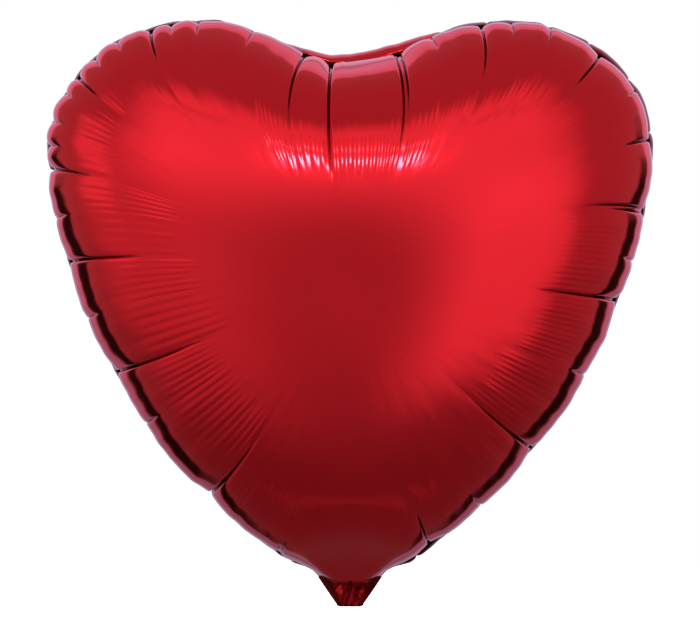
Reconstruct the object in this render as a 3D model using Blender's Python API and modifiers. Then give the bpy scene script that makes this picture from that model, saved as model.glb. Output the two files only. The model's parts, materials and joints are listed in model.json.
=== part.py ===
"""Heart-shaped foil balloon, inflated, with its fill tail folded up behind it.

Two sheets of metallised film are heat-sealed face to face round a heart and down both sides of
a tail. A self-sealing valve, two strips of clear film, lies in the tail and reaches up through
the neck into the gas. The strips can fold with the tail, and above the neck they can part.

Frame: X across the heart, Y from front to back, +Z up. The origin is at the root of the neck,
on the plane of the seam, where a ribbon is tied.
"""

import math

import bmesh
import bpy
import numpy as np
from mathutils import Vector
from mathutils.geometry import interpolate_bezier

# Driving dimensions of the inflated balloon, metres
WIDTH = 0.400  # seam edge to seam edge, across both lobes
BODY_HEIGHT = 0.370  # root of the neck to the crowns of the lobes
DEPTH = 0.168  # front panel to rear panel at the fullest point
LOBE_SPACING = 0.205  # crown of one lobe to crown of the other
CLEFT_DROP = 0.027  # how far the cleft lies below the crowns
SHOULDER_HEIGHT = 0.282  # height of the widest point above the neck
CENTRE_HEIGHT = 0.210  # height of the fullest point above the neck

# Roundness of the heart's edge: reach of each curve handle
CLEFT_HANDLE = 0.030
CROWN_INNER_HANDLE = 0.048
CROWN_OUTER_HANDLE = 0.054
SHOULDER_UPPER_HANDLE = 6 / 11 * (BODY_HEIGHT - SHOULDER_HEIGHT)  # as the crowns rise, the shoulders round out
SHOULDER_LOWER_HANDLE = 0.040
NECK_HANDLE = 0.170
NECK_APPROACH = math.radians(30)  # slope of the edge where it meets the neck

# Seam
SEAM_WIDTH = 0.004  # heat-sealed band
PUCKER_COUNT = 24  # gathers round the heart
PUCKER_DEPTH = 0.003  # how far a gather pulls the seam in
PUCKER_CREASE = 0.18  # share of the height that a gather takes off at its crease
PUCKER_ROUNDNESS = 0.6  # below 1, lobes are round and creases narrow
PUCKER_SEAM_FADE = 8  # how fast the pull dies out towards the centre
PUCKER_CREASE_FADE = 6  # how fast the crease does

# Fullness near the edge of film that can't stretch, beyond that of a stretched skin
EDGE_FULLNESS = 0.18
EDGE_FULLNESS_SPREAD = 0.65

# Films: the walls are thicker than real film so that they are solids
FOIL = 0.0004
VALVE_FILM = 0.0003
GAP = 0.0003  # between touching films

# Neck and tail
NECK_WIDTH = 0.043
NECK_LENGTH = 0.017  # root of the neck to the fold
NECK_SWELL = 0.003  # how far the gas lifts each film at the root
FOLD_WIDTH = 0.018
TAIL_WIDTH = 0.030
TAIL_LENGTH = 0.056
TAIL_FLARE = 0.014  # length over which the tail widens below the fold
TAIL_SEAM = 0.002
TAIL_SHOULDER = 0.002  # from the seam up to the flat of the channel
FOLD_RELIEF = 0.0006  # bare length on each side of the fold line
TAIL_CLEARANCE = 0.0015  # between the folded tail and the rear panel

# Valve
VALVE_SIDE_CLEARANCE = 0.001
VALVE_WIDTH = 0.020  # width above the neck
VALVE_REACH = 0.075  # how far the free ends reach above the neck
VALVE_START = 0.010  # how far inside the tail's open end it begins
VALVE_ROOT = 0.003  # height of the line that the free ends bend at

# Mesh counts
CURVE_STEPS = 100
SIDE_POINTS = 30
LOBE_POINTS = 12
CLEFT_POINTS = 12
NECK_POINTS = 10
RING_SHARES = (0.992, 0.965, 0.92, 0.85, 0.75, 0.61, 0.44, 0.24)
NECK_ROWS = 4
LEAF_GRID = (10, 14)  # across and along a tail leaf
NECK_FILM_GRID = (2, 4)
VALVE_GRID = (2, 3)

# Finishes: colour, metallic and roughness
RED_FOIL = ((0.60, 0.012, 0.022), 1.0, 0.2)
CLEAR_FILM = ((0.80, 0.82, 0.84), 0.0, 0.3)
SHARP_ANGLE = math.radians(40)

FOIL_BASE = GAP / 2  # inner face of a foil film at its seam
CHANNEL_LIFT = VALVE_FILM + GAP  # lift of the foil over the valve
STACK = FOIL_BASE + CHANNEL_LIFT + FOIL  # seam plane to the tail's outer face
HINGE = Vector((0, STACK, -NECK_LENGTH))

FRONT = -1
REAR = 1
SIDES = (("front", FRONT), ("rear", REAR))


def smooth(share):
    """Ease from 0 to 1."""
    share = min(max(share, 0.0), 1.0)
    return share * share * (3 - 2 * share)


def even(points, count):
    """The same line with evenly spaced points, leaving out the last one."""
    points = np.array([(p[0], p[1]) for p in points])
    steps = np.linalg.norm(np.diff(points, axis=0), axis=1)
    along = np.concatenate([[0], np.cumsum(steps)])
    wanted = np.linspace(0, along[-1], count, endpoint=False)
    return np.stack([np.interp(wanted, along, points[:, axis]) for axis in (0, 1)], axis=1)


def half_heart():
    """Right-hand edge of the heart in X and Z, from the neck up and over to the cleft."""
    shoulder = Vector((WIDTH / 2, SHOULDER_HEIGHT))
    crown = Vector((LOBE_SPACING / 2, BODY_HEIGHT))
    cleft = Vector((0, BODY_HEIGHT - CLEFT_DROP))
    corner = Vector((NECK_WIDTH / 2, 0))
    approach = Vector((math.cos(NECK_APPROACH), math.sin(NECK_APPROACH)))
    side = (corner, corner + approach * NECK_HANDLE,
            shoulder - Vector((0, SHOULDER_LOWER_HANDLE)), shoulder)
    lobe = (shoulder, shoulder + Vector((0, SHOULDER_UPPER_HANDLE)),
            crown + Vector((CROWN_OUTER_HANDLE, 0)), crown)
    valley = (crown, crown - Vector((CROWN_INNER_HANDLE, 0)),
              cleft + Vector((CLEFT_HANDLE, 0)), cleft)
    counts = (SIDE_POINTS, LOBE_POINTS, CLEFT_POINTS)
    curves = [interpolate_bezier(*knots, CURVE_STEPS) for knots in (side, lobe, valley)]
    return np.concatenate([even(curve, count) for curve, count in zip(curves, counts)])


def heart_edge():
    """Closed edge of the heart: the neck's opening from left to right, then round the heart."""
    right = half_heart()
    left = right[1:][::-1] * (-1, 1)
    cleft = np.array([(0, BODY_HEIGHT - CLEFT_DROP)])
    neck = np.array([(x, 0) for x in np.linspace(-NECK_WIDTH / 2, NECK_WIDTH / 2, NECK_POINTS + 1)[:-1]])
    return np.concatenate([neck, right, cleft, left])


def inset(edge, width):
    """The closed edge moved inwards by a width."""
    tangent = np.roll(edge, -1, axis=0) - np.roll(edge, 1, axis=0)
    tangent /= np.linalg.norm(tangent, axis=1)[:, None]
    return edge + np.stack([-tangent[:, 1], tangent[:, 0]], axis=1) * width


def puckers(edge, phase):
    """0 on each crease of the gathered seam and 1 between creases, for every point of the edge."""
    round_heart = np.arange(len(edge)) - NECK_POINTS
    share = round_heart / (len(edge) - NECK_POINTS)
    gathered = np.abs(np.sin(math.pi * (share * PUCKER_COUNT + phase))) ** PUCKER_ROUNDNESS
    return np.where(round_heart > 0, gathered, 1.0)


def gas_pressure_shape(rings, centre):
    """Share of the full height at each ring point and the centre.

    The stretch of a soap film over the heart is solved with linear triangles, and its square
    root, filled out near the edge as unstretchable film is, gives the panel's profile.
    """
    count = len(rings[0])
    points = np.concatenate(list(rings) + [centre[None, :]])
    middle = len(points) - 1
    stiffness = np.zeros((len(points), len(points)))
    load = np.zeros(len(points))
    triangles = []
    for ring in range(len(rings)):
        for i in range(count):
            a = ring * count + i
            b = ring * count + (i + 1) % count
            if ring == len(rings) - 1:
                triangles.append((a, b, middle))
            else:
                triangles.append((a, b, b + count))
                triangles.append((a, b + count, a + count))
    for triangle in triangles:
        corner = points[list(triangle)]
        opposite = np.roll(corner, -1, axis=0) - np.roll(corner, 1, axis=0)
        area = abs(opposite[0][0] * opposite[1][1] - opposite[0][1] * opposite[1][0]) / 2
        stiffness[np.ix_(triangle, triangle)] += opposite @ opposite.T / (4 * area)
        load[list(triangle)] += area / 3
    lift = np.zeros(len(points))
    lift[count:] = np.linalg.solve(stiffness[count:, count:], load[count:])
    lift /= lift.max()
    fullness = np.sqrt(lift) * (1 + EDGE_FULLNESS * (1 - lift) ** EDGE_FULLNESS_SPREAD)
    return fullness[:-1].reshape(len(rings), count), fullness[-1]


def channel(x, half_width, lift):
    """Height of a foil film over the valve channel, level in the middle and low at the seams."""
    return lift * smooth((half_width - TAIL_SEAM - abs(x)) / TAIL_SHOULDER)


def neck_half_width(z):
    """Half width of the neck at a height between the fold and the root."""
    share = min(max(-z / NECK_LENGTH, 0.0), 1.0)
    return (NECK_WIDTH + (FOLD_WIDTH - NECK_WIDTH) * share) / 2


def neck_lift(x, z):
    """Lift of each film over the valve in the neck, fading out above its root."""
    share = min(max(-z / NECK_LENGTH, 0.0), 1.0)
    lift = NECK_SWELL + (CHANNEL_LIFT - NECK_SWELL) * share
    fade = 1 - smooth((z - SEAM_WIDTH) / (2 * NECK_WIDTH))
    return channel(x, neck_half_width(z), lift) * fade


def panel_rings(side):
    """Points of one panel: the outer edge, the seal line and the rings up to the centre."""
    edge = heart_edge()
    seal = inset(edge, SEAM_WIDTH)
    centre = np.array((0, CENTRE_HEIGHT))
    smooth_rings = [centre + (seal - centre) * share for share in (1.0,) + RING_SHARES]
    height, top = gas_pressure_shape(smooth_rings, centre)
    gathered = puckers(edge, 0.0 if side == FRONT else 0.5)[:, None]
    pull = (inset(edge, PUCKER_DEPTH) - edge) * (1 - gathered)
    full = DEPTH / 2 - FOIL - FOIL_BASE
    rings = []
    for flat, shape in zip([edge] + smooth_rings, np.concatenate([height[:1], height])):
        reach = np.linalg.norm(flat[-1] - centre) / np.linalg.norm(edge[-1] - centre)
        flat = flat + pull * reach ** PUCKER_SEAM_FADE
        crease = 1 - PUCKER_CREASE * (1 - gathered[:, 0]) * reach ** PUCKER_CREASE_FADE
        domed = full * shape * crease + FOIL_BASE + FOIL
        out = [y + neck_lift(x, z) for (x, z), y in zip(flat, domed)]
        rings.append([Vector((x, side * y, z)) for (x, z), y in zip(flat, out)])
    return rings, Vector((0, side * (full * top + FOIL_BASE + FOIL), CENTRE_HEIGHT))


def neck_row(side, share):
    """Points across the neck, from its left seam to its right, at a share of its length."""
    z = -(NECK_LENGTH - FOLD_RELIEF) * share
    half = neck_half_width(z)
    across = np.linspace(-half, half, NECK_POINTS + 1)
    return [Vector((x, side * (FOIL_BASE + FOIL + neck_lift(x, z)), z)) for x in across]


def extrude_row(bm, row, edges, places):
    """Extrude a row of vertices and move the new ones to their places."""
    made = bmesh.ops.extrude_edge_only(bm, edges=edges)["geom"]
    new = {v for v in made if isinstance(v, bmesh.types.BMVert)}
    follow = [next(e.other_vert(v) for e in v.link_edges if e.other_vert(v) in new) for v in row]
    for vert, place in zip(follow, places):
        vert.co = place
    return follow, [e for e in made if isinstance(e, bmesh.types.BMEdge) and set(e.verts) <= new]


def finish(bm, name, look, outward):
    """Turn an open film surface into an object whose faces look outward."""
    bm.normal_update()
    facing = sum((f.normal.dot(outward) * f.calc_area() for f in bm.faces), 0.0)
    if facing < 0:
        bmesh.ops.reverse_faces(bm, faces=bm.faces)
    mesh = bpy.data.meshes.new(name)
    bm.to_mesh(mesh)
    bm.free()
    mesh.shade_smooth()
    mesh.set_sharp_from_angle(angle=SHARP_ANGLE)
    colour, metallic, roughness = look
    material = bpy.data.materials.new(name)
    material.use_nodes = True
    shader = material.node_tree.nodes["Principled BSDF"]
    shader.inputs["Base Color"].default_value = (*colour, 1)
    shader.inputs["Metallic"].default_value = metallic
    shader.inputs["Roughness"].default_value = roughness
    mesh.materials.append(material)
    obj = bpy.data.objects.new(name, mesh)
    balloon.objects.link(obj)
    return obj


def thicken(obj, thickness):
    """Give a film its wall, on the inner side of its surface."""
    wall = obj.modifiers.new("wall", "SOLIDIFY")
    wall.thickness = thickness
    wall.offset = -1
    wall.use_even_offset = True


def foil_panel(name, side):
    """One half of the balloon: seam, domed heart and its film of the neck."""
    rings, centre = panel_rings(side)
    bm = bmesh.new()
    row = [bm.verts.new(place) for place in rings[0]]
    edges = [bm.edges.new((a, b)) for a, b in zip(row, row[1:] + row[:1])]
    neck = row[:NECK_POINTS + 1]
    neck_edges = edges[:NECK_POINTS]
    for places in rings[1:]:
        row, edges = extrude_row(bm, row, edges, places)
    row, edges = extrude_row(bm, row, edges, [centre] * len(row))
    bmesh.ops.pointmerge(bm, verts=row, merge_co=centre)
    for step in range(1, NECK_ROWS + 1):
        neck, neck_edges = extrude_row(bm, neck, neck_edges, neck_row(side, step / NECK_ROWS))
    thicken(finish(bm, name, RED_FOIL, Vector((0, side, 0))), FOIL)


def strip(name, side, wall, look, grid, half_width, lift, top, bottom):
    """A strip of film between two heights, on one side of the seam plane of the neck or tail."""
    bm = bmesh.new()
    bmesh.ops.create_grid(bm, x_segments=grid[0], y_segments=grid[1], size=1.0)
    for vert in bm.verts:
        z = bottom + (top - bottom) * (vert.co.y + 1) / 2
        x = vert.co.x * half_width(z)
        vert.co = Vector((x, side * (FOIL_BASE + wall + lift(x, z)), z))
    film = finish(bm, name, look, Vector((0, side, 0)))
    thicken(film, wall)
    return film


def tail_half_width(z):
    """Half width of the hanging tail at a height below the fold."""
    return (FOLD_WIDTH + (TAIL_WIDTH - FOLD_WIDTH) * smooth(-z / TAIL_FLARE)) / 2


def valve_half_width(z):
    """Half width of the valve: it keeps clear of the seams at the fold and widens above it."""
    narrow = FOLD_WIDTH / 2 - TAIL_SEAM - TAIL_SHOULDER - VALVE_SIDE_CLEARANCE
    return narrow + (VALVE_WIDTH / 2 - narrow) * smooth((z + NECK_LENGTH) / (NECK_LENGTH + VALVE_ROOT))


def valve_narrow(z):
    """Half width of the valve inside the tail."""
    return valve_half_width(-NECK_LENGTH)


def valve_full(z):
    """Half width of the valve's free ends."""
    return VALVE_WIDTH / 2


def level(x, z):
    """No lift: the film lies flat."""
    return 0.0


def tail_lean():
    """Angle from straight down to the tail folded up behind, lying along the rear panel."""
    rings, centre = panel_rings(REAR)
    reach = [p for ring in rings + [[centre]] for p in ring if abs(p.x) < TAIL_WIDTH and p.z < TAIL_LENGTH]
    slope = [math.atan2(p.y + TAIL_CLEARANCE - HINGE.y, p.z - HINGE.z) for p in reach if p.y > HINGE.y]
    return math.pi - max(slope)


def build_tail():
    """The tail beyond the fold: two foil leaves and the valve strips between them."""
    hinge = bpy.data.objects.new("tail_fold_line", None)
    balloon.objects.link(hinge)
    hinge.location = HINGE
    hinge.rotation_euler.x = tail_lean()

    def leaf_lift(x, z):
        return channel(x, tail_half_width(z), CHANNEL_LIFT)

    for word, side in SIDES:
        leaf = strip(f"tail_{word}_leaf", side, FOIL, RED_FOIL, LEAF_GRID, tail_half_width, leaf_lift,
                     -FOLD_RELIEF, -TAIL_LENGTH)
        valve = strip(f"tail_valve_{word}_film", side, VALVE_FILM, CLEAR_FILM, VALVE_GRID, valve_narrow,
                      level, -FOLD_RELIEF, -TAIL_LENGTH + VALVE_START)
        for piece in (leaf, valve):
            piece.parent = hinge
            piece.location.y = -STACK


def build_valve():
    """The valve strips in the neck, and their free ends, which bend at the root of the neck."""
    for word, side in SIDES:
        strip(f"neck_valve_{word}_film", side, VALVE_FILM, CLEAR_FILM, NECK_FILM_GRID, valve_half_width,
              level, VALVE_ROOT - GAP, -NECK_LENGTH + FOLD_RELIEF)
        bend = bpy.data.objects.new(f"valve_{word}_bend", None)
        balloon.objects.link(bend)
        bend.location = (0, side * FOIL_BASE, VALVE_ROOT)
        flap = strip(f"valve_{word}_flap", side, VALVE_FILM, CLEAR_FILM, VALVE_GRID, valve_full,
                     level, VALVE_REACH - VALVE_ROOT, GAP)
        flap.parent = bend
        flap.location.y = -side * FOIL_BASE


for old in list(bpy.data.objects):
    bpy.data.objects.remove(old, do_unlink=True)
balloon = bpy.data.collections.new("heart_foil_balloon")
bpy.context.scene.collection.children.link(balloon)

for word, side in SIDES:
    foil_panel(f"{word}_panel", side)
build_valve()
build_tail()
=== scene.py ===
"""Heart-shaped foil balloon: its films, neck, tail and valve, and the studio that it hangs in."""

import json
import math

import bmesh
import bpy
import numpy as np
from mathutils import Euler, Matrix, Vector, noise
from mathutils.geometry import interpolate_bezier

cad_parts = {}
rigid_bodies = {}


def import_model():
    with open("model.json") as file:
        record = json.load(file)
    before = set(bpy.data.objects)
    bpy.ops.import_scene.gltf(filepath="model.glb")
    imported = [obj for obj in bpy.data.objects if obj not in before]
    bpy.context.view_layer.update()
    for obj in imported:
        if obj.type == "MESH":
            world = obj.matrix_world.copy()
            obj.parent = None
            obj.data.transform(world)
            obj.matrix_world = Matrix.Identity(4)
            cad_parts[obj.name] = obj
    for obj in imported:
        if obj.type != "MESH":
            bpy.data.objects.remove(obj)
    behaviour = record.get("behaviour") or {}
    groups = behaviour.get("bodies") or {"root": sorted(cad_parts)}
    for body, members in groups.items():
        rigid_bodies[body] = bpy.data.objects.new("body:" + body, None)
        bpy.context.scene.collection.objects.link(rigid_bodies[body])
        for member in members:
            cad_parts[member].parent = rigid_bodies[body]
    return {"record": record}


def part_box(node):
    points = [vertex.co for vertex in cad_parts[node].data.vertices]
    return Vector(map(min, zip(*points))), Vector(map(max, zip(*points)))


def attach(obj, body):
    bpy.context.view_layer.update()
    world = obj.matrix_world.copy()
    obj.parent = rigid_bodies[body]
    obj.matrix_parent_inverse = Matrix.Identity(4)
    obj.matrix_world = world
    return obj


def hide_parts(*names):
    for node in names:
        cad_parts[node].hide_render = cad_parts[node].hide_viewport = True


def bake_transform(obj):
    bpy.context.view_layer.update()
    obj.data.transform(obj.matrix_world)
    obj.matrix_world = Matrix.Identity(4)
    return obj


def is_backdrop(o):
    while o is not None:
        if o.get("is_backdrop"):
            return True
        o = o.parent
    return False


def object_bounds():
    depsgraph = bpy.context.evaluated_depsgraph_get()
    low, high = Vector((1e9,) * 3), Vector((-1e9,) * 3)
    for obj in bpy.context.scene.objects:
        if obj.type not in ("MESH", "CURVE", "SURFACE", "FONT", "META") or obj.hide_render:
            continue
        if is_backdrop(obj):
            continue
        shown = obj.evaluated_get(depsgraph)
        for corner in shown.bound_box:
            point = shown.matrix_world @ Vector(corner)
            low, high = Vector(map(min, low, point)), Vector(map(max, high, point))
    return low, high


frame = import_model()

CAD_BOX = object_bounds()
PANEL_LOW, PANEL_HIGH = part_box("front_panel")
REAR_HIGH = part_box("rear_panel")[1]

bl_info = {
    "name": "Heart Foil Balloon",
    "version": (1, 0, 0),
    "blender": (4, 5, 0),
    "location": "3D View > Sidebar > Balloon",
    "description": "Models an inflated heart-shaped foil balloon and its studio",
    "category": "Add Mesh",
}

MM = 0.001
FRONT = -1
REAR = 1


# ---------------------------------------------------------------- settings


def metres(name, description, default):
    """A length that a user can change."""
    return bpy.props.FloatProperty(
        name=name, description=description, default=default, min=0.0, unit="LENGTH", subtype="DISTANCE")


def share(name, description, default):
    """A number from 0 to 1 that a user can change."""
    return bpy.props.FloatProperty(
        name=name, description=description, default=default, min=0.0, max=1.0, subtype="FACTOR")


def colour(name, description, default):
    """A linear colour that a user can change."""
    return bpy.props.FloatVectorProperty(
        name=name, description=description, default=default, size=3, min=0.0, max=1.0, subtype="COLOR")


class HeartSizes(bpy.types.PropertyGroup):
    """Outline and fullness of the inflated heart."""

    width: metres("Width", "Seam edge to seam edge across both lobes", PANEL_HIGH[0] - PANEL_LOW[0])
    height: metres("Height", "Root of the neck to the crowns of the lobes", PANEL_HIGH[2])
    depth: metres("Depth", "Front film to rear film at the fullest point", REAR_HIGH[1] - PANEL_LOW[1])
    crown_spacing: metres("Crown spacing", "Crown of one lobe to crown of the other", 0.205)
    cleft_drop: metres("Cleft drop", "How far the cleft lies below the crowns", 0.027)
    shoulder_height: metres("Shoulder height", "Widest point above the root of the neck", 0.282)
    neck_width: metres("Neck width", "Width of the neck where it leaves the heart", 0.043)
    seam_width: metres("Seam width", "Heat-sealed band round the films", 0.004)


class GatherSettings(bpy.types.PropertyGroup):
    """How the films gather along the seam."""

    crease_width: metres("Crease width", "Half width of a pinched crease", 0.0008)
    swell: metres("Swell", "How far film between two gathers swells past them", 0.0034)
    overhang: metres("Overhang", "How far the films bulge out over the seam", 0.0042)
    rib_height: metres("Rib height", "Height of the fine ribs in the film", 0.00026)
    flange_fold: bpy.props.FloatProperty(
        name="Flange fold", description="How far the seam's band folds back", default=math.radians(58),
        min=0.0, max=math.pi, subtype="ANGLE", unit="ROTATION")
    seam_wander: metres("Seam wander", "How far the seam strays from its plane", 0.0012)


class FoilFinish(bpy.types.PropertyGroup):
    """Look of the metallised film and of the clear valve."""

    red: colour("Red", "Colour of the metallised film", (0.76, 0.013, 0.024))
    deep_red: colour("Deep red", "Colour where the lacquer is thicker", (0.70, 0.009, 0.018))
    # painted shade: the colour that painted shade takes the film towards, in creases, on the rear film's rim,
    # on the seam's band and on the neck
    crease: colour("Crease", "Colour in the bottom of a pinched crease", (0.03, 0.0, 0.001))
    glance: colour("Glance", "Tint of the metal where it is seen at a low angle", (1.0, 0.80, 0.82))
    roughness: share("Roughness", "Blur of the film's reflections", 0.10)
    lacquer: share("Lacquer", "Clear film over the metal", 0.25)
    clear: colour("Valve film", "Colour of the valve's clear film", (0.82, 0.84, 0.86))


class StudioSettings(bpy.types.PropertyGroup):
    """Backdrop, floor and light."""

    backdrop: colour("Backdrop", "Colour of the backdrop and the floor", (1.0, 1.0, 1.0))
    wall: colour("Wall", "Tint of the lit wall behind the balloon", (0.56, 0.62, 0.88))
    glint: bpy.props.FloatProperty(
        name="Glint", description="Brightness of the small bare lamps", default=38.0, min=0.0)
    lens: bpy.props.FloatProperty(
        name="Lens", description="Focal length in millimetres", default=85.0, min=1.0)


# ---------------------------------------------------------------- shader maths


class Value:
    """A shader socket that can be used in sums."""

    def __init__(self, nodes, socket):
        self.nodes = nodes
        self.socket = socket

    def maths(self, operation, *others):
        """A Math node on this value and others."""
        return self.nodes.node("ShaderNodeMath", {"operation": operation}, dict(enumerate((self, *others))))

    def __add__(self, other):
        return self.maths("ADD", other)

    __radd__ = __add__

    def __mul__(self, other):
        return self.maths("MULTIPLY", other)

    __rmul__ = __mul__

    def __sub__(self, other):
        return self.maths("SUBTRACT", other)

    def __rsub__(self, other):
        return (self * -1.0).maths("ADD", other)

    def clamped(self):
        """This value kept from 0 to 1."""
        return self.maths("MAXIMUM", 0.0).maths("MINIMUM", 1.0)

    def eased(self):
        """This value, from 0 to 1, with a soft start and end."""
        return self * self * (self * -2.0 + 3.0)


class NodeTree:
    """The nodes of a material or of the world, and short ways to add to them."""

    def __init__(self, tree):
        self.tree = tree

    def node(self, kind, settings=None, sockets=None, out=0):
        """Add a node, set it up, feed its sockets by name or number and give back one of its outputs."""
        node = self.tree.nodes.new(kind)
        for key, setting in (settings or {}).items():
            setattr(node, key, setting)
        for key, item in (sockets or {}).items():
            self.feed(node.inputs[key], item)
        return Value(self, node.outputs[out])

    def feed(self, socket, item):
        """Link a value to a socket, or set the socket."""
        if isinstance(item, Value):
            self.tree.links.new(item.socket, socket)
        else:
            socket.default_value = item

    def mix(self, factor, first, second):
        """Blend two colours."""
        return self.node("ShaderNodeMix", {"data_type": "RGBA"}, {0: factor, 6: first, 7: second}, out=2)

    def noise(self, place, scale, detail):
        """Soft noise from 0 to 1."""
        return self.node("ShaderNodeTexNoise", {}, {"Vector": place, "Scale": scale, "Detail": detail})


class Finish(NodeTree):
    """A material with one Principled shader."""

    def __init__(self, name):
        self.material = bpy.data.materials.new(name)
        self.material.use_nodes = True
        super().__init__(self.material.node_tree)
        self.surface = self.tree.nodes["Principled BSDF"]

    def set(self, sockets):
        """Feed the Principled shader's sockets."""
        for key, item in sockets.items():
            self.feed(self.surface.inputs[key], item)

    def bump(self, strength, distance, height):
        """A surface normal that follows small heights."""
        return self.node("ShaderNodeBump", {}, {"Strength": strength, "Distance": distance, "Height": height})


def opaque(rgb):
    """A colour with full alpha."""
    return (*rgb, 1.0)


# ---------------------------------------------------------------- materials


FOIL = "metallised_red"
CLEAR_FILM = "clear_film"
DRAW_MARKS = (420.0, 14.0, 1.0)  # marks per metre round the film, and inwards, left by drawing it out


def foil_material(finish):
    """Red metallised film under a clear lacquer, with faint handling marks, and painted shade that darkens it
    and takes the lacquer away.
    """
    foil = Finish(FOIL)
    place = foil.node("ShaderNodeTexCoord", out="Object")
    cloud = foil.noise(place, 9.0, 3.0)
    grain = foil.noise(place, 900.0, 2.0)
    film = foil.node("ShaderNodeUVMap", {"uv_map": "film"})
    drawn = foil.noise(foil.node("ShaderNodeMapping", {}, {"Vector": film, "Scale": DRAW_MARKS}), 1.0, 2.0)
    red = foil.mix((cloud * 1.6 - 0.3).clamped(), opaque(finish.deep_red), opaque(finish.red))
    # painted shade: where it is high, the base colour runs to the crease colour and the lacquer goes, so
    # creases, rims, the seam's band and the neck read dark
    painted_shade = foil.node("ShaderNodeAttribute", {"attribute_name": "painted_shade"}, out="Fac")
    foil.set({
        "Base Color": foil.mix(painted_shade, red, opaque(finish.crease)),
        "Metallic": 1.0,
        "Specular Tint": opaque(finish.glance),
        "Roughness": (cloud * 0.06 + grain * 0.04 + (finish.roughness - 0.05)).clamped(),
        "Coat Weight": painted_shade * -finish.lacquer + finish.lacquer,
        "Coat Roughness": 0.04,
        "Coat IOR": 1.4,
        "Normal": foil.bump(0.05, 0.4 * MM, drawn + grain * 0.3),
    })
    return foil.material


def clear_material(finish):
    """Clear, slightly hazy film."""
    film = Finish(CLEAR_FILM)
    haze = film.noise(film.node("ShaderNodeTexCoord", out="Object"), 120.0, 3.0)
    film.set({
        "Base Color": opaque(finish.clear),
        "Roughness": haze * 0.2 + 0.18,
        "Alpha": haze * 0.2 + 0.35,
        "Normal": film.bump(0.2, 0.3 * MM, haze),
    })
    return film.material


def red_foil(scene):
    """The red foil, made once."""
    return bpy.data.materials.get(FOIL) or foil_material(scene.balloon_finish)


# ---------------------------------------------------------------- outline


CURVE_STEPS = 1500
CLEFT_HANDLE = 0.030
CROWN_INNER_HANDLE = 0.048
CROWN_OUTER_HANDLE = 0.054
SHOULDER_UPPER_HANDLE = 0.048
SHOULDER_LOWER_HANDLE = 0.040
NECK_HANDLE = 0.170
NECK_APPROACH = math.radians(30)


class Edge:
    """The heart's edge, measured in metres from the cleft: right-hand side positive, left negative."""

    def __init__(self, sizes):
        shoulder = Vector((sizes.width / 2, sizes.shoulder_height))
        crown = Vector((sizes.crown_spacing / 2, sizes.height))
        cleft = Vector((0, sizes.height - sizes.cleft_drop))
        corner = Vector((sizes.neck_width / 2, 0))
        approach = Vector((math.cos(NECK_APPROACH), math.sin(NECK_APPROACH)))
        stretches = (
            (cleft, cleft + Vector((CLEFT_HANDLE, 0)), crown - Vector((CROWN_INNER_HANDLE, 0)), crown),
            (crown, crown + Vector((CROWN_OUTER_HANDLE, 0)),
             shoulder + Vector((0, SHOULDER_UPPER_HANDLE)), shoulder),
            (shoulder, shoulder - Vector((0, SHOULDER_LOWER_HANDLE)),
             corner + approach * NECK_HANDLE, corner),
        )
        points = [p for knots in stretches for p in interpolate_bezier(*knots, CURVE_STEPS)[:-1]] + [corner]
        self.points = np.array([tuple(p) for p in points])
        steps = np.linalg.norm(np.diff(self.points, axis=0), axis=1)
        self.along = np.concatenate([[0], np.cumsum(steps)])
        self.half = self.along[-1]
        self.neck = sizes.neck_width / 2
        self.round = 2 * (self.half + self.neck)

    def at(self, distance):
        """X and Z at distances from the cleft; past the neck's corners they run along the neck."""
        reach = np.abs(distance)
        x = np.interp(reach, self.along, self.points[:, 0])
        x = np.where(reach > self.half, self.neck - (reach - self.half), x)
        return np.stack([np.sign(distance) * x, np.interp(reach, self.along, self.points[:, 1])], axis=-1)

    def inward(self, distance, step=0.0015):
        """Unit vectors from the edge into the heart."""
        tangent = self.at(distance + step) - self.at(distance - step)
        tangent /= np.linalg.norm(tangent, axis=-1, keepdims=True)
        return np.stack([tangent[..., 1], -tangent[..., 0]], axis=-1)


# ---------------------------------------------------------------- gathers and ribs


class Gather:
    """A pinched crease that runs into the film from the seam."""

    def __init__(self, at, length, depth=1.0, lean=0.0, double=False):
        self.at = at * MM
        self.length = length * MM
        self.depth = depth * MM
        self.lean = math.radians(lean)
        self.double = double


class Ribs:
    """A band of fine parallel ribs, square to the seam."""

    def __init__(self, start, end, pitch, near, far, strength=1.0):
        self.start = start * MM
        self.end = end * MM
        self.pitch = pitch * MM
        self.near = near * MM
        self.far = far * MM
        self.strength = strength


# Distances from the cleft in millimetres, right-hand side positive, as seen from the front.
FRONT_GATHERS = (
    Gather(-11, 75, 2.6, 6), Gather(-29, 49, 2.2, -2), Gather(-66, 11, 0.8), Gather(-102, 10, 0.8),
    Gather(-121, 8, 0.9), Gather(-135, 25, 1.8, -3), Gather(-159, 9, 1.2), Gather(-178, 9, 1.2),
    Gather(-195, 24, 2.0, -3), Gather(-209, 8, 1.0), Gather(-230, 9, 1.2), Gather(-247, 9, 1.2),
    Gather(-263, 32, 1.4, -10), Gather(-295, 10, 1.0), Gather(-325, 52, 2.2, -8), Gather(-364, 9, 0.8),
    Gather(-404, 62, 2.4, -9), Gather(-443, 13, 1.0), Gather(-506, 56, 2.2, -5),
    Gather(-567, 15, 0.9, 0, True),
    Gather(30, 64, 2.4, -8, True), Gather(55, 9, 0.8), Gather(88, 38, 1.8, 2), Gather(109, 12, 1.0, 6),
    Gather(136, 13, 1.0), Gather(174, 32, 2.0, -2), Gather(208, 9, 1.0), Gather(243, 22, 1.8, 3),
    Gather(291, 44, 2.4, 0, True), Gather(324, 9, 0.8), Gather(352, 55, 2.4, 10), Gather(405, 13, 1.2, 8),
    Gather(465, 58, 2.4, 0), Gather(516, 11, 0.8), Gather(559, 31, 1.8, 6),
)
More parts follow.
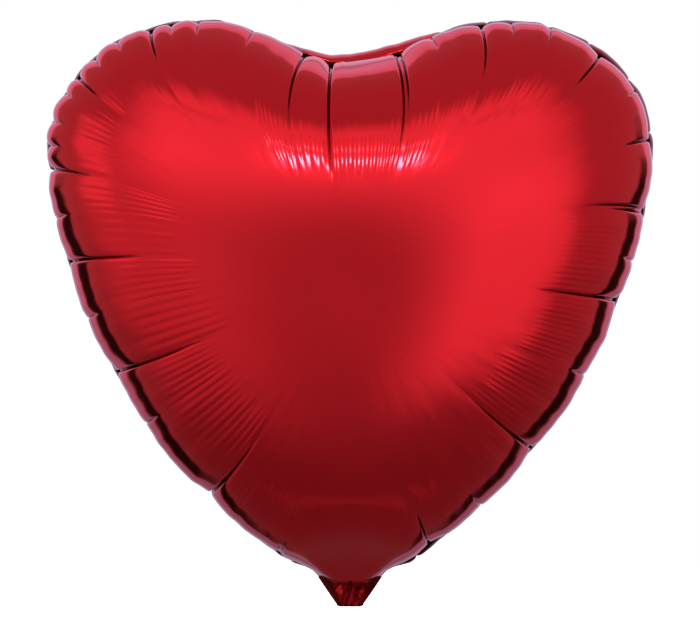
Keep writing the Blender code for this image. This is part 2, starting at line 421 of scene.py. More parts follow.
FRONT_RIBS = (
    Ribs(-56, -12, 4.0, 14, 73, 1.3), Ribs(-11, 31, 4.1, 14, 77, 1.5), Ribs(32, 52, 4.1, 18, 79, 1.3),
    Ribs(53, 80, 4.4, 30, 62, 0.25),
    Ribs(-192, -136, 5.0, 14, 50, 0.4), Ribs(-262, -197, 6.0, 16, 60, 0.6),
    Ribs(-324, -264, 6.2, 14, 84, 1.0), Ribs(-402, -326, 6.4, 16, 88, 1.1),
    Ribs(-504, -405, 5.6, 14, 70, 0.9), Ribs(-590, -508, 5.2, 6, 44, 0.6),
    Ribs(292, 351, 3.7, 10, 56, 0.8), Ribs(353, 403, 3.9, 10, 52, 0.8), Ribs(407, 463, 4.6, 12, 58, 0.7),
    Ribs(468, 556, 5.2, 8, 40, 0.4), Ribs(90, 172, 6.0, 30, 60, 0.25), Ribs(176, 240, 5.4, 20, 60, 0.3),
)


# Where the rear film shows past the front one: distance from the cleft, half length and extra overhang.
CLEFT_BULGE = (0.014, 0.036, 0.0062)
REAR_BULGES = (
    CLEFT_BULGE, (0.190, 0.090, 0.0034), (-0.088, 0.015, 0.0045), (-0.262, 0.018, 0.0022),
    (0.577, 0.012, 0.0050), (-0.577, 0.012, 0.0050),
)
BARE_CLEFT = (-42 * MM, 62 * MM)  # the rear film has no short gathers here


def rear_gathers(edge, rng):
    """Gathers of the rear film: the same kinds, out of step with the front film's."""
    gathers = []
    at = -edge.half + 25 * MM
    long_one = True
    while at < edge.half - 20 * MM:
        length = rng.uniform(38, 66) if long_one else rng.uniform(8, 16)
        depth = rng.uniform(1.8, 2.6) if long_one else rng.uniform(0.8, 1.3)
        double = long_one and rng.random() < 0.3
        if long_one or not BARE_CLEFT[0] < at < BARE_CLEFT[1]:
            gathers.append(Gather(at / MM, length, depth, rng.uniform(-8, 8), double))
        at += rng.uniform(22, 38) * MM
        long_one = rng.random() < 0.55 if not long_one else False
    return gathers


def rear_ribs(edge, rng):
    """Bands of ribs round the rear film."""
    bands = []
    at = -edge.half + 12 * MM
    while at < edge.half - 50 * MM:
        length = rng.uniform(45, 95) * MM
        bands.append(Ribs(at / MM, (at + length) / MM, rng.uniform(3.9, 6.2), rng.uniform(10, 22),
                          rng.uniform(50, 82), rng.uniform(0.5, 1.0)))
        at += length + 4 * MM
    return bands


# ---------------------------------------------------------------- domed film


ROWS = 54
ROW_BUNCHING = 0.55  # below 1, rows are closer together near the seam
COLUMN_STEP = 3.0 * MM
CREASE_STEP = 0.38 * MM
CREASE_REACH = 2.6 * MM
COLUMNS_PER_RIB = 6
MERIDIAN_REACH = 0.065
NECK_BLEND = 0.16  # length of edge beside the neck where columns turn to the centre
HARMONICS = 26
# Slow waves in the film: length round the edge, length inwards, phase and share of the swell.
UNEVEN_WAVES = (
    (0.041, 0.13, 0.4, 0.055), (0.0271, -0.09, 2.1, 0.05),
    (0.0167, 0.06, 4.0, 0.035), (0.0113, -0.05, 5.2, 0.022),
)
EDGE_FULLNESS = 0.18
EDGE_FULLNESS_SPREAD = 0.65
CENTRE = np.array((0.0, 0.205))


def eased(value):
    """Ease from 0 to 1."""
    value = np.clip(value, 0.0, 1.0)
    return value * value * (3 - 2 * value)


def column_places(edge, gathers, ribs):
    """Distances round the edge for the film's columns, closer together at creases and ribs."""
    fine = np.linspace(-edge.round / 2, edge.round / 2, 30001)
    density = np.full(fine.shape, 1 / COLUMN_STEP)
    for band in ribs:
        inside = (fine > band.start) & (fine < band.end)
        density[inside] = np.maximum(density[inside], COLUMNS_PER_RIB / band.pitch)
    for gather in gathers:
        near = np.abs(fine - gather.at) < CREASE_REACH * (2 if gather.double else 1)
        density[near] = 1 / CREASE_STEP
    total = np.concatenate([[0], np.cumsum((density[1:] + density[:-1]) / 2 * np.diff(fine))])
    return np.interp(np.linspace(0, total[-1], int(total[-1]) + 1), total, fine)


def gas_dome(seal, points):
    """How far a stretched skin over the heart rises at the points, and its small error on the seal line.

    The rise is minus a quarter of the squared distance from the centre plus a harmonic function that
    makes it nearly zero on the seal line, written as a series of powers of one complex number.
    """

    def powers(place):
        reach = ((place[..., 1] - CENTRE[1]) + 1j * place[..., 0]) / scale
        return np.stack([(reach ** k).real for k in range(HARMONICS)], axis=-1)

    scale = np.abs(seal - CENTRE).max()
    series = np.linalg.lstsq(powers(seal), ((seal - CENTRE) ** 2).sum(axis=-1) / 4, rcond=None)[0]

    def stretch(place):
        return powers(place) @ series - ((place - CENTRE) ** 2).sum(axis=-1) / 4

    return stretch(points), stretch(seal)


# ---------------------------------------------------------------- joining the film to the neck


NECK_SWELL = 0.0048
NECK_LENGTH = 0.017
FOLD_WIDTH = 0.018
FOLD_RADIUS = 0.00115
FILM_GAP = 0.00015
NECK_SLOPE = 0.95
FLAT_TOP = 0.55  # share of the half width that the neck's swell takes to rise from its seam
FUNNEL_HEIGHT = 0.042
FUNNEL_REACH = 0.022
FUNNEL_HALF_WIDTH = 0.030
FLANK = 0.6  # share of the half width where the neck's seams begin to bend back
FLANK_SLOPE = 0.75
FLANK_HEIGHT = 0.018


def neck_half_width(z, sizes):
    """Half width of the neck below its root, and of the heart just above it."""
    above = sizes.neck_width / 2 + np.maximum(z, 0) / math.tan(NECK_APPROACH)
    return above + (FOLD_WIDTH - sizes.neck_width) / 2 * np.clip(-z / NECK_LENGTH, 0, 1)


def funnel(x, z, sizes):
    """Height of the film just above the neck, and how much of it to use at each place."""
    z = np.maximum(z, 0)
    across = np.clip(1 - np.abs(x) / neck_half_width(z, sizes), 0, 1)
    root = (NECK_SWELL + NECK_SLOPE * z) * eased(across / FLAT_TOP)
    rise = (z / FUNNEL_HEIGHT) ** 3 * (1 + (x / FUNNEL_REACH) ** 2)
    aside = np.maximum(np.abs(x) / FUNNEL_HALF_WIDTH - 0.75, 0) ** 2
    return root, np.exp(-rise - aside)


def flank(x, z, sizes):
    """How far back the seams beside the neck bend."""
    half = neck_half_width(z, sizes)
    fade = (1 - eased(z / FLANK_HEIGHT)) * np.clip(1 + z / NECK_LENGTH, 0, 1)
    return np.maximum(np.abs(x) - FLANK * half, 0) * FLANK_SLOPE * fade


# ---------------------------------------------------------------- inflating a film


SEAL_FADE = 12  # how fast the dome's small error on the seal line fades inwards
WANDER_WAVES = (38, 17)  # radians per metre of edge
WANDER_REACH = 0.020
STEADY_AT_NECK = 0.030
NARROW_LOBE = 0.020
WIDE_LOBE = 0.034
FULL_CROWN = 0.060  # width of a lobe whose crown stands out fully

OVERHANG_CORNER = 1.8 * MM
PINCHED_OVERHANG = 0.68  # share of the overhang that is left at a gather
NARROW_PINCH = 0.3
REAR_OVERHANG = 1.1
FRONT_OVERHANG = 0.58
CROWN_OVERHANG = 0.2
FLATTER_AT = 0.190  # the front film overhangs least here, by the right-hand shoulder
FLATTER_REACH = 0.100
BULGE_HEIGHT = 0.036

SMALL_CORNER = 2.4 * MM
LARGE_CORNER = 15 * MM
LARGE_GATHER = 18 * MM
RIM_PINCH = 0.006  # reach inwards of each part of the swell
RIM_CROWN = 0.016
WIDE_PINCH = 0.022
WIDE_CROWN = 0.036
UNEVEN_REACH = 0.030

TWIN_CREASES = (-1.4 * MM, 1.6 * MM)
SHORTER_TWIN = 0.35
CREASE_DEPTH = 1.25
CREASE_DEEPENS = 0.016
SHADE_WIDTH = 0.85

RIB_FADE = 0.6  # share of a rib's width over which a band of ribs ends
RIB_VALLEY = 0.03  # softens the line between two ribs


class Film:
    """Lattice of one domed film: columns round the edge, rows from the seal line to the centre."""

    def __init__(self, side, sizes, settings, gathers, ribs, seed):
        self.side = side
        self.sizes = sizes
        self.settings = settings
        self.edge = Edge(sizes)
        self.gathers = gathers
        self.ribs = ribs
        self.rng = np.random.default_rng(seed)
        self.around = column_places(self.edge, gathers, ribs)
        self.lay_out()
        self.inflate()

    def lay_out(self):
        """Flat places of the lattice: columns run in from the seam and end at the centre.

        A column starts square to the seam, turned by the lean of the gathers near it.
        """
        inward = self.edge.inward(self.around)
        lean = np.interp(self.around, *self.leans())
        turn = np.stack([inward[:, 0] * np.cos(lean) - inward[:, 1] * np.sin(lean),
                         inward[:, 0] * np.sin(lean) + inward[:, 1] * np.cos(lean)], axis=-1)
        rim = self.edge.at(self.around)
        aim = CENTRE - rim
        aim /= np.linalg.norm(aim, axis=1, keepdims=True)
        free = eased((self.edge.half - np.abs(self.around)) / NECK_BLEND)[:, None]
        turn = turn * free + aim * (1 - free)
        turn /= np.linalg.norm(turn, axis=1, keepdims=True)
        self.rim = rim
        self.outward = -inward
        seal = rim + inward * self.sizes.seam_width
        row = np.linspace(0, 1, ROWS)
        self.step = row * (ROW_BUNCHING + (1 - ROW_BUNCHING) * row)
        sweep = (1 - np.cos(self.step * math.pi / 2))[:, None, None]
        self.sweep = sweep[:, :, 0]
        elbow = seal + turn * MERIDIAN_REACH
        self.flat = (1 - sweep) ** 2 * seal + 2 * sweep * (1 - sweep) * elbow + sweep ** 2 * CENTRE
        inwards = np.linalg.norm(np.diff(self.flat, axis=0), axis=-1)
        self.inset = np.concatenate([np.zeros((1, len(self.around))), np.cumsum(inwards, axis=0)])
        self.seal = seal

    def leans(self):
        """Where the columns lean, and by how much."""
        order = sorted(self.gathers, key=lambda g: g.at)
        return [g.at for g in order], [g.lean for g in order]

    def inflate(self):
        """Heights, swell between gathers, creases and ribs."""
        stretch, residue = gas_dome(self.seal, self.flat)
        stretch = np.maximum(stretch - residue * (1 - self.sweep) ** SEAL_FADE, 0.0)
        stretch /= stretch.max()
        dome = np.sqrt(stretch) * (1 + EDGE_FULLNESS * (1 - stretch) ** EDGE_FULLNESS_SPREAD)
        self.height = dome * self.sizes.depth / 2
        self.ease_into_neck()
        self.overhang()
        points = np.stack([self.flat[..., 0], self.side * self.height, self.flat[..., 1]], axis=-1)
        columns = np.gradient(points, axis=1)
        rows = np.gradient(points, axis=0)
        normal = np.cross(columns, rows)
        normal /= np.maximum(np.linalg.norm(normal, axis=-1, keepdims=True), 1e-12)
        normal *= np.sign(np.median(normal[..., 1])) * self.side
        normal[-1] = (0, self.side, 0)
        spacing = np.linalg.norm(columns, axis=-1) / np.maximum(np.gradient(self.around), 1e-9)
        relief = self.swell() + self.creases(spacing) + self.rib_relief()
        self.points = points + normal * relief[..., None]
        quick, slow = WANDER_WAVES
        wander = self.settings.seam_wander * np.sin(self.around * quick + 1.0) * np.sin(self.around * slow)
        self.wander = wander * (np.abs(self.around) < self.edge.half - STEADY_AT_NECK)
        self.points[..., 1] += self.wander * np.exp(-self.inset / WANDER_REACH)

    def lobes(self, shortest, shoulder):
        """Rounded steps: 0 at each gather that is long enough, rising to 1 between them.

        A narrow lobe is round all over; a wide one only near its ends. Also gives how narrow each
        lobe is, and its crown.
        """
        ends = sorted(g.at for g in self.gathers if g.length >= shortest)
        ends = np.array([-self.edge.half] + ends + [self.edge.half])
        index = np.clip(np.searchsorted(ends, self.around) - 1, 0, len(ends) - 2)
        width = ends[index + 1] - ends[index]
        reach = np.minimum(np.abs(self.around - ends[index]), np.abs(ends[index + 1] - self.around))
        narrow = 1 - eased((width - NARROW_LOBE) / (WIDE_LOBE - NARROW_LOBE))
        radius = np.minimum(width / 2, shoulder) * (1 - narrow) + width / 2 * narrow
        rise = np.clip(reach / radius, 0.01, 1)
        bow = 1 - (1 - rise) ** 2
        crown = 1 - (1 - 2 * reach / width) ** 2
        step = np.sqrt(bow) * (1 - narrow) + bow * narrow
        return step, narrow, crown * np.clip(width / FULL_CROWN, 0, 1.2)

    def overhang(self):
        """Bulge the lower wall of the film out over the seam, least at the gathers."""
        lobe, narrow, crown = self.lobes(0, OVERHANG_CORNER)
        least = PINCHED_OVERHANG - NARROW_PINCH * narrow
        step = least + (1 - least) * lobe
        from_neck = self.edge.half - np.abs(self.around)
        if self.side == REAR:
            extra = sum(size * np.exp(-((self.around - at) / spread) ** 2)
                        for at, spread, size in REAR_BULGES)
            amount = (self.settings.overhang * REAR_OVERHANG + extra) * step
            beside_neck = eased(from_neck / 0.035)
        else:
            amount = self.settings.overhang * FRONT_OVERHANG * (step + CROWN_OVERHANG * (crown - 0.4))
            amount *= 1 - 0.7 * np.exp(-((self.around - FLATTER_AT) / FLATTER_REACH) ** 2)
            beside_neck = eased(from_neck / 0.140)
        rise = np.clip(self.height / BULGE_HEIGHT, 0, 1)
        bulge = np.sin(rise * math.pi) * (1 - rise) * 1.3
        self.flat = self.flat + self.outward[None] * (bulge * amount * beside_neck)[..., None]

    def ease_into_neck(self):
        """Let the dome run straight down into the neck."""
        root, near = funnel(self.flat[..., 0], self.flat[..., 1], self.sizes)
        self.height = self.height * (1 - near) + root * near

    def swell(self):
        """Round lobes between gathers: small ones at the seam, large ones further in."""
        small, _, small_crown = self.lobes(0, SMALL_CORNER)
        large, _, large_crown = self.lobes(LARGE_GATHER, LARGE_CORNER)
        near_neck = eased((self.edge.half - np.abs(self.around)) / STEADY_AT_NECK)
        inside = 0.4 + 0.6 * eased(self.inset / 0.012)
        pinched = (small - 1) * 0.35 * np.exp(-self.inset / RIM_PINCH)
        pinched += (large - 1) * 0.4 * np.exp(-self.inset / WIDE_PINCH) * inside
        full = small_crown * 0.35 * np.exp(-(self.inset / RIM_CROWN) ** 2)
        full += large_crown * 0.45 * np.exp(-(self.inset / WIDE_CROWN) ** 2)
        return self.settings.swell * near_neck * (pinched + full + self.unevenness())

    def unevenness(self):
        """Slow, irregular waves in the film, strongest near the seam."""
        waves = sum(np.sin(2 * math.pi * (self.around[None] / length + self.inset / reach) + phase) * size
                    for length, reach, phase, size in UNEVEN_WAVES)
        return waves * np.exp(-self.inset / UNEVEN_REACH)

    def creases(self, spacing):
        """Sharp valleys along the gathers, and painted shade along their bottoms."""
        relief = np.zeros(self.inset.shape)
        self.painted_shade = np.zeros(self.inset.shape)
        for gather in self.gathers:
            offsets = TWIN_CREASES if gather.double else (0.0,)
            for number, offset in enumerate(offsets):
                length = gather.length * (1 - SHORTER_TWIN * number)
                taper = np.clip(1 - self.inset / length, 0, 1) ** 0.7
                across = (self.around - gather.at - offset) * spacing
                width = self.settings.crease_width * (0.75 + 0.25 * taper)
                shallow = 0.35 + 0.65 * eased(self.inset / CREASE_DEEPENS)
                relief -= CREASE_DEPTH * gather.depth * taper * shallow / (1 + (across / width) ** 2) ** 1.5
                # painted shade: darkest along the bottom of each crease, fading along its length
                shade = np.clip(taper * 2.2, 0, 1) * np.exp(-(across / (SHADE_WIDTH * width)) ** 2)
                self.painted_shade = np.maximum(self.painted_shade, shade)
        return relief

    def rib_relief(self):
        """Fine ribs, each with its own strength and inner end."""
        relief = np.zeros(self.inset.shape)
        for band in self.ribs:
            count = int((band.end - band.start) / band.pitch) + 2
            strength = self.rng.uniform(0.8, 1.1, count)
            reach = self.rng.uniform(-0.05, 0.05, count) + 1
            place = (self.around - band.start) / band.pitch
            index = np.clip(place.astype(int), 0, count - 1)
            inside = ((self.around > band.start) & (self.around < band.end)).astype(float)
            from_end = np.minimum(self.around - band.start, band.end - self.around)
            side_fade = eased(from_end / (RIB_FADE * band.pitch))
            far = band.far * reach[index]
            length = far - band.near
            run = (self.inset - band.near) / length
            envelope = eased(run / 0.5) ** 0.8 * (1 - eased((run - 0.86) / 0.14))
            wave = np.sqrt(np.sin(math.pi * place) ** 2 + RIB_VALLEY)
            height = self.settings.rib_height * band.strength * strength[index] * inside * side_fade
            relief += height * wave * envelope
        return relief


# ---------------------------------------------------------------- meshes


def finish_mesh(name, bm, outward):
    """Turn an open surface into an object whose faces look outward, shaded smooth."""
    bm.normal_update()
    facing = sum(face.normal.dot(outward) * face.calc_area() for face in bm.faces)
    if facing < 0:
        bmesh.ops.reverse_faces(bm, faces=bm.faces)
    mesh = bpy.data.meshes.new(name)
    bm.to_mesh(mesh)
    bm.free()
    mesh.shade_smooth()
    obj = bpy.data.objects.new(name, mesh)
    bpy.context.scene.collection.objects.link(obj)
    return obj


def lattice_mesh(name, rows, uvs, painted_shade, outward):
    """An object made from a grid whose vertices move to the places given in rows."""
    bm = bmesh.new()
    bmesh.ops.create_grid(bm, x_segments=rows.shape[1] - 1, y_segments=rows.shape[0] - 1, size=1.0)
    uv = bm.loops.layers.uv.new("film")
    bm.verts.ensure_lookup_table()
    # painted shade for each vertex, read by the foil material
    pinched = bm.verts.layers.float.new("painted_shade")
    for vert, place, depth in zip(bm.verts, rows.reshape(-1, 3), painted_shade.reshape(-1)):
        vert.co = place
        vert[pinched] = depth
    bm.verts.index_update()
    flat = uvs.reshape(-1, 2)
    for face in bm.faces:
        for loop in face.loops:
            loop[uv].uv = flat[loop.vert.index]
    bmesh.ops.remove_doubles(bm, verts=bm.verts, dist=1e-6)
    bmesh.ops.dissolve_degenerate(bm, edges=bm.edges, dist=1e-7)
    return finish_mesh(name, bm, outward)


BAND_ROWS = (1.0, 0.66, 0.33)  # shares of the seam's width, from the cut edge inwards
BAND_SHADE = 0.85
REAR_SHADE = 0.8
REAR_SHADE_REACH = 0.004
LIT_CLEFT = 0.050  # the rear film isn't shaded this close to its bulge in the cleft


def film_mesh(name, film):
    """A domed film with its half of the seam."""
    spread = np.array(BAND_ROWS)[:, None, None]
    beside_neck = eased((film.edge.half - np.abs(film.around)) / film.sizes.seam_width)[None, :, None]
    tuck = film.settings.flange_fold * beside_neck
    out = np.stack([film.outward[:, 0], 0 * film.wander, film.outward[:, 1]], axis=-1)[None]
    back = np.array((0.0, 1.0, 0.0))
    width = film.sizes.seam_width
    seal = film.points[:1].copy()
    seal[..., 1] = film.wander
    band = seal + spread * width * (out * np.cos(tuck) + back * np.sin(tuck))
    root, near = funnel(band[..., 0], band[..., 2], film.sizes)
    band[..., 1] += film.side * root * near
    rows = np.concatenate([band, film.points])
    rows[..., 1] += film.side * FILM_GAP
    rows[..., 1] += flank(rows[..., 0], rows[..., 2], film.sizes) * eased(1 - rows[..., 2] / 0.02)
    band_shape = (len(BAND_ROWS), len(film.around))
    inset = np.concatenate([np.broadcast_to(-spread[:, :, 0] * width, band_shape), film.inset])
    painted_shade = film.painted_shade
    # painted shadow: the rear film darkens near its rim, except by the cleft
    if film.side == REAR:
        shadow = np.exp(-film.inset / REAR_SHADE_REACH) * REAR_SHADE
        painted_shade = np.maximum(painted_shade, shadow * (1 - np.exp(-((film.around - CLEFT_BULGE[0]) / LIT_CLEFT) ** 4)))
    # painted shade on the folded band of the seam, but not at the neck
    painted_shade = np.concatenate([np.broadcast_to(BAND_SHADE * beside_neck[:, :, 0], band_shape), painted_shade])
    uvs = np.stack([np.broadcast_to(film.around, inset.shape), inset], axis=-1)
    return lattice_mesh(name, rows, uvs, painted_shade, Vector((0, film.side, 0)))


# ---------------------------------------------------------------- neck and tail


TAIL_LENGTH = 0.056
TAIL_WIDTH = 0.030
TAIL_FLARE = 0.014
TAIL_SWELL = 0.0008
VALVE_ROOM = 0.00075  # each film's least height over the middle of the valve
TAIL_LEAN = math.radians(133.756)  # from straight down to its rest, folded up behind
NECK_COLUMNS = 110
NECK_ROWS = 80  # as many again in the tail
BEND_ROWS = 14
BEND = FOLD_RADIUS * TAIL_LEAN
NECK_END = NECK_LENGTH + BEND + TAIL_LENGTH
FOLD = Vector((0, FOLD_RADIUS, -NECK_LENGTH))
FACET = 0.0078
SMALL_FACET = 0.0036
CRUMPLE = 0.0011
MIDDLE_CREASE = 0.0009


def crumple(x, z, side, size):
    """Facets of crumpled film, from -1 to 1."""
    reach = noise.voronoi(Vector((x / size * 1.3, z / size * 0.8, side * 5.0)))[0]
    return (reach[1] - reach[0]) * 1.4 - 0.6


def neck_point(x_share, side, run, sizes):
    """A point of the neck or the tail, and how much painted shade it gets.

    It is found from a share of the half width, a side, and the distance along from the root.
    """
    turn = min(max((run - NECK_LENGTH) / BEND, 0.0), 1.0) * TAIL_LEAN
    in_neck = min(run, NECK_LENGTH)
    in_tail = max(run - NECK_LENGTH - BEND, 0.0)
    if in_tail > 0:
        half = (FOLD_WIDTH + (TAIL_WIDTH - FOLD_WIDTH) * float(eased(in_tail / TAIL_FLARE))) / 2
    else:
        half = float(neck_half_width(-in_neck, sizes))
    x = x_share * half
    near_fold = in_neck / NECK_LENGTH
    swell = TAIL_SWELL + (NECK_SWELL - TAIL_SWELL) * (1 - near_fold) ** 1.6
    lift = swell * float(eased((1 - abs(x_share)) / FLAT_TOP))
    strength = float(eased(run / 0.003)) * (1.6 - 1.3 * near_fold) if not in_tail else 0.3
    closed = float(eased((1 - abs(x_share)) / 0.25))
    rough = crumple(x, run, side, FACET) + 0.4 * crumple(x, run, side + 3, SMALL_FACET)
    middle = math.exp(-(x / MIDDLE_CREASE) ** 2) * 1.4
    lift += (rough - middle) * strength * closed * CRUMPLE
    sweep = float(flank(x, -in_neck, sizes))
    end = float(eased((NECK_END - run) / 0.0015))
    lift = max(lift, VALVE_ROOM * float(eased((1 - abs(x_share)) / 0.3)))
    depth = side * (lift + FILM_GAP) * end
    local = Vector((x, -FOLD_RADIUS + depth + sweep, -in_tail))
    local.rotate(Euler((turn, 0, 0)))
    place = FOLD + local
    place.z += NECK_LENGTH - in_neck
    # painted shade in the hollows of the crumpled facets, and painted shadow on the flanks beside the neck;
    # the tail gets less
    shade = float(np.clip(-1.2 * rough, 0.0, 0.9)) * float(eased(run / 0.003))
    painted_flank_shade = 0.9 * float(eased((abs(x_share) - 0.5) / 0.16))
    return (*place, max(shade, painted_flank_shade) if not in_tail else shade * 0.4)


def neck_mesh(sizes):
    """The flattened tube of film from the root of the neck, round the fold, to the end of the tail."""
    runs = np.concatenate([np.linspace(0, NECK_LENGTH, NECK_ROWS),
                           np.linspace(NECK_LENGTH, NECK_LENGTH + BEND, BEND_ROWS)[1:],
                           np.linspace(NECK_LENGTH + BEND, NECK_END, NECK_ROWS)[1:]])
    across = np.linspace(-1, 1, NECK_COLUMNS)
    round_trip = [(share, FRONT) for share in across] + [(share, REAR) for share in across[::-1]]
    grid = np.array([[neck_point(share, side, run, sizes) for share, side in round_trip] for run in runs])
    grid[:, -1] = grid[:, 0]
    rows = grid[..., :3]
    uvs = np.array([[(share * TAIL_WIDTH / 2, -run) for share, side in round_trip] for run in runs])
    return lattice_mesh("neck_and_tail", rows, uvs, grid[..., 3], Vector((0, -1, 0)))


def dress(obj, material, slot, *replaced):
    """Give a piece its material and hide the nodes that it stands for; the slot is not used."""
    obj.data.materials.append(material)
    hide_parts(*replaced)


# ---------------------------------------------------------------- operators


FRONT_SEED = 11
REAR_SEED = 31
REAR_LAYOUT_SEED = 23


class BALLOON_OT_front_film(bpy.types.Operator):
    """Model the front film with its gathers and ribs"""

    bl_idname = "balloon.front_film"
    bl_label = "Front Film"

    def execute(self, context):
        scene = context.scene
        film = Film(FRONT, scene.balloon_sizes, scene.balloon_gathers, FRONT_GATHERS, FRONT_RIBS, FRONT_SEED)
        obj = film_mesh("front_film", film)
        dress(obj, red_foil(scene), "red_foil", "front_panel")
        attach(obj, "envelope")
        return {"FINISHED"}


class BALLOON_OT_rear_film(bpy.types.Operator):
    """Model the rear film with its gathers and ribs"""

    bl_idname = "balloon.rear_film"
    bl_label = "Rear Film"

    def execute(self, context):
        scene = context.scene
        rng = np.random.default_rng(REAR_LAYOUT_SEED)
        edge = Edge(scene.balloon_sizes)
        gathers = rear_gathers(edge, rng)
        ribs = rear_ribs(edge, rng)
        film = Film(REAR, scene.balloon_sizes, scene.balloon_gathers, gathers, ribs, REAR_SEED)
        obj = film_mesh("rear_film", film)
        dress(obj, red_foil(scene), "red_foil", "rear_panel")
        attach(obj, "envelope")
        return {"FINISHED"}


class BALLOON_OT_neck_and_tail(bpy.types.Operator):
    """Model the crumpled neck and the tail folded up behind it"""

    bl_idname = "balloon.neck_and_tail"
    bl_label = "Neck and Tail"

    def execute(self, context):
        obj = neck_mesh(context.scene.balloon_sizes)
        dress(obj, red_foil(context.scene), "red_foil", "tail_front_leaf", "tail_rear_leaf")
        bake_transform(obj)
        return {"FINISHED"}


class BALLOON_OT_valve(bpy.types.Operator):
    """Give the valve's films, and the sheets under the modelled foil, their materials"""

    bl_idname = "balloon.valve"
    bl_label = "Valve"

    def execute(self, context):
        clear = clear_material(context.scene.balloon_finish)
        for entry in frame["record"]["subparts"]:
            film = clear if entry["material_slot"] == "valve_film" else red_foil(context.scene)
            obj = bpy.data.objects[entry["node"]]
            obj.data.materials.clear()
            obj.data.materials.append(film)
        return {"FINISHED"}


class BALLOON_OT_studio(bpy.types.Operator):
    """Set up the floor, the light and the camera"""

    bl_idname = "balloon.studio"
    bl_label = "Studio"

    def execute(self, context):
        studio = context.scene.balloon_studio
        context.scene.view_settings.view_transform = "Standard"
        add_world(studio)
        add_floor(studio)
        add_camera(context.scene, studio)
        return {"FINISHED"}


def add_world(studio):
    """Plain white all round for the camera, and soft panels of light for the foil to reflect."""
    world = bpy.data.worlds.new("studio")
    bpy.context.scene.world = world
    world.use_nodes = True
    nodes = NodeTree(world.node_tree)
    brightness, behind = room_light(nodes, studio)
    tint = nodes.mix(behind, opaque((1.0, 1.0, 1.0)), opaque(studio.wall))
    room = nodes.node("ShaderNodeBackground", {}, {"Color": tint, "Strength": brightness})
    plain = nodes.node("ShaderNodeBackground", {}, {"Color": opaque(studio.backdrop), "Strength": 1.0})
    seen = nodes.node("ShaderNodeLightPath", out="Is Camera Ray")
    both = nodes.node("ShaderNodeMixShader", {}, {0: seen, 1: room, 2: plain})
    nodes.feed(world.node_tree.nodes["World Output"].inputs["Surface"], both)


def over(value, level, spread):
    """0 below a level and 1 above it, with a soft edge."""
    return ((value - (level - spread / 2)) * (1 / spread)).clamped().eased()


def sheet(value, bottom, top, spread):
    """1 between two levels and 0 outside them, with soft edges."""
    return over(value, bottom, spread) * (1.0 - over(value, top, spread))


def room_light(nodes, studio):
    """Brightness of the room in each direction, and where it is the wall behind.

    Angles are in degrees. Bearing 0 and height 0 is the middle of the front, and a bearing grows to
    the right.
    """
    place = nodes.node("ShaderNodeTexCoord", out="Generated")
    across, back, up = (nodes.node("ShaderNodeSeparateXYZ", {}, {0: place}, out=axis) for axis in "XYZ")
    ahead = back * -1.0
    bearing = across.maths("ARCTAN2", ahead).maths("DEGREES")
    height = up.maths("ARCSINE").maths("DEGREES")
    from_front = ahead.maths("ARCCOSINE").maths("DEGREES")
    behind, wall, flags = wall_light(height, from_front)
    front = front_light(bearing, height, studio.glint)
    return front * (1.0 - flags * FLAG_SHADE) * (1.0 - behind) + behind * wall, behind


ROOM = 0.49  # brightness of each part of the room, as a share of the backdrop's
ROOM_UNDER = 0.28
PANEL_UNDER = 0.08
HIGH_PANEL = 0.6
HIGH_PANEL_GAP = 0.25
RIGHT_PANEL = 0.6
LEFT_PANEL = 0.2
LEFT_EDGE = 0.3
SECOND_LAMP = 0.3
WALL_FOOT = 0.6
WALL_TOP = 1.0
WALL_BATTEN = 0.4
WALL_MIDDLE = 0.45
FLAG_SHADE = 0.95
WALL_EDGE = 120.0  # degrees from the front where the wall begins, high up
WALL_EDGE_LOW = 7.0
WALL_EDGE_UNDER = 20.0


def front_light(bearing, height, glint):
    """Soft panels and two small bare lamps in front of the balloon."""
    under = 1.0 - over(height, -26.0, 60.0)
    panel_under = sheet(height, -60.0, -55.0, 4.0) * sheet(bearing, -60.0, 60.0, 40.0)
    room = ROOM - under * ROOM_UNDER + panel_under * PANEL_UNDER
    high_panel = over(height, 14.0, 26.0) * (1.0 - over(height, 50.0, 13.0))
    high_panel = high_panel * sheet(bearing, -46.0, 46.0, 30.0)
    gap = sheet(height, 40.0, 42.5, 1.5) * over(bearing.maths("ABSOLUTE"), 14.0, 10.0)
    right_panel = sheet(bearing, 12.0, 54.0, 24.0) * sheet(height, -24.0, 16.0, 20.0)
    left_panel = sheet(bearing, -84.0, -16.0, 30.0) * sheet(height, -30.0, 28.0, 30.0)
    left_edge = sheet(bearing, -86.0, -60.0, 12.0) * sheet(height, 2.0, 26.0, 12.0)
    lamps = sheet(height, 26.5, 31.0, 2.0) + sheet(height, 35.0, 37.0, 2.0) * SECOND_LAMP
    lamps = lamps * sheet(bearing, -4.5, 5.5, 4.0)
    panels = high_panel * (HIGH_PANEL - gap * HIGH_PANEL_GAP) + right_panel * RIGHT_PANEL
    return room + panels + left_panel * LEFT_PANEL + left_edge * LEFT_EDGE + lamps * glint


def wall_light(height, from_front):
    """Where the lit wall behind the balloon is, how bright it is, and the dark flags in front of it."""
    low = 1.0 - over(height, 6.0, 20.0)
    under = 1.0 - over(height, -56.0, 14.0)
    behind = over(from_front - (low * WALL_EDGE_LOW + under * WALL_EDGE_UNDER + WALL_EDGE), 0.0, 4.0)
    wall = over(height, -10.0, 70.0) * WALL_TOP + WALL_FOOT
    wall = wall * (1.0 - sheet(from_front, 137.0, 141.0, 2.0) * WALL_BATTEN)
    wall = wall * (1.0 - over(from_front, 156.0, 24.0) * WALL_MIDDLE)
    flags = sheet(from_front - low * WALL_EDGE_LOW, 105.0, 120.0, 6.0) * low * over(height, -50.0, 24.0)
    return behind, wall, flags


FLOATS_AT = 1.2  # height of the neck's end above the floor
FLOOR_HALF_WIDTH = 6.0
VIEW_WIDTH = 1.159  # width of the camera's view, as a share of the balloon's
VIEW_TILT = math.radians(3.0)
VIEW_LIFT = 0.7 * MM


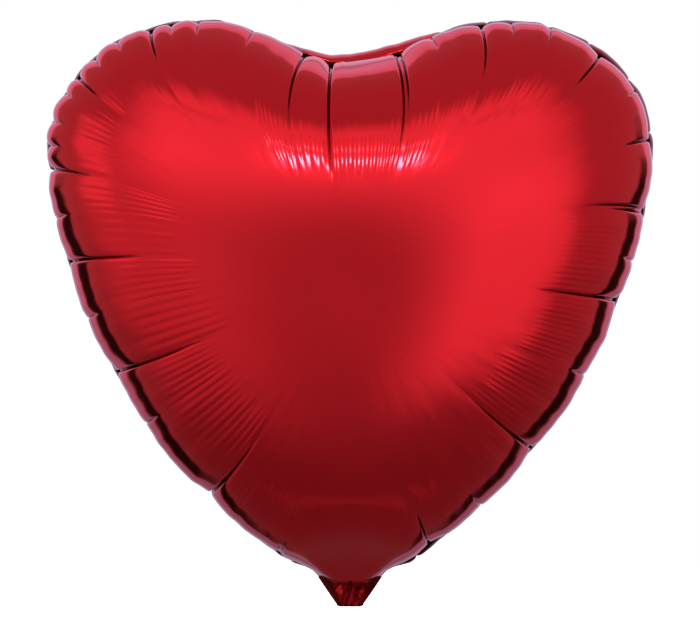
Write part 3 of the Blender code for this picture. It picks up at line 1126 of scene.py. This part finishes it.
def add_floor(studio):
    """A wide pale floor under the floating balloon."""
    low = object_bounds()[0]
    bm = bmesh.new()
    bmesh.ops.create_grid(bm, x_segments=2, y_segments=2, size=FLOOR_HALF_WIDTH)
    bmesh.ops.translate(bm, verts=bm.verts, vec=(0, 0, low[2] - FLOATS_AT))
    mesh = bpy.data.meshes.new("floor")
    bm.to_mesh(mesh)
    bm.free()
    floor = bpy.data.objects.new("floor", mesh)
    bpy.context.scene.collection.objects.link(floor)
    paper = Finish("pale_paper")
    paper.set({
        "Base Color": opaque(studio.backdrop),
        "Roughness": 0.9,
        "Emission Color": opaque(studio.backdrop),
        "Emission Strength": 1.0,
    })
    mesh.materials.append(paper.material)
    floor.visible_glossy = False
    floor.visible_diffuse = False
    floor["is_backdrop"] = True


def add_camera(scene, studio):
    """A camera square on to the heart and a little above it."""
    low, high = CAD_BOX
    middle = Vector((0, 0, (low[2] + high[2]) / 2 + VIEW_LIFT))
    data = bpy.data.cameras.new("camera")
    data.lens = studio.lens
    data.sensor_width = 36.0
    camera = bpy.data.objects.new("camera", data)
    scene.collection.objects.link(camera)
    distance = (high[0] - low[0]) * VIEW_WIDTH * studio.lens / data.sensor_width
    camera.location = middle + Vector((0, -math.cos(VIEW_TILT), math.sin(VIEW_TILT))) * distance
    camera.rotation_euler = (math.pi / 2 - VIEW_TILT, 0, 0)
    scene.camera = camera


class BALLOON_PT_panel(bpy.types.Panel):
    """The balloon's pieces and settings"""

    bl_label = "Heart Foil Balloon"
    bl_idname = "BALLOON_PT_panel"
    bl_space_type = "VIEW_3D"
    bl_region_type = "UI"
    bl_category = "Balloon"

    def draw(self, context):
        for operator in OPERATORS:
            self.layout.operator(operator.bl_idname)
        for group in GROUPS:
            settings = getattr(context.scene, group)
            for name in settings.bl_rna.properties.keys():
                if name not in {"rna_type", "name"}:
                    self.layout.prop(settings, name)


GROUPS = {
    "balloon_sizes": HeartSizes,
    "balloon_gathers": GatherSettings,
    "balloon_finish": FoilFinish,
    "balloon_studio": StudioSettings,
}
OPERATORS = (
    BALLOON_OT_front_film,
    BALLOON_OT_rear_film,
    BALLOON_OT_neck_and_tail,
    BALLOON_OT_valve,
    BALLOON_OT_studio,
)


def register():
    """Register the settings, the operators and the panel."""
    for name, group in GROUPS.items():
        bpy.utils.register_class(group)
        setattr(bpy.types.Scene, name, bpy.props.PointerProperty(type=group))
    for operator in OPERATORS:
        bpy.utils.register_class(operator)
    bpy.utils.register_class(BALLOON_PT_panel)


def unregister():
    """Take them away again."""
    bpy.utils.unregister_class(BALLOON_PT_panel)
    for operator in reversed(OPERATORS):
        bpy.utils.unregister_class(operator)
    for name, group in reversed(GROUPS.items()):
        delattr(bpy.types.Scene, name)
        bpy.utils.unregister_class(group)


def main():
    """Build the whole balloon."""
    register()
    bpy.ops.balloon.front_film()
    bpy.ops.balloon.rear_film()
    bpy.ops.balloon.neck_and_tail()
    bpy.ops.balloon.valve()
    bpy.ops.balloon.studio()


if __name__ == "__main__":
    main()
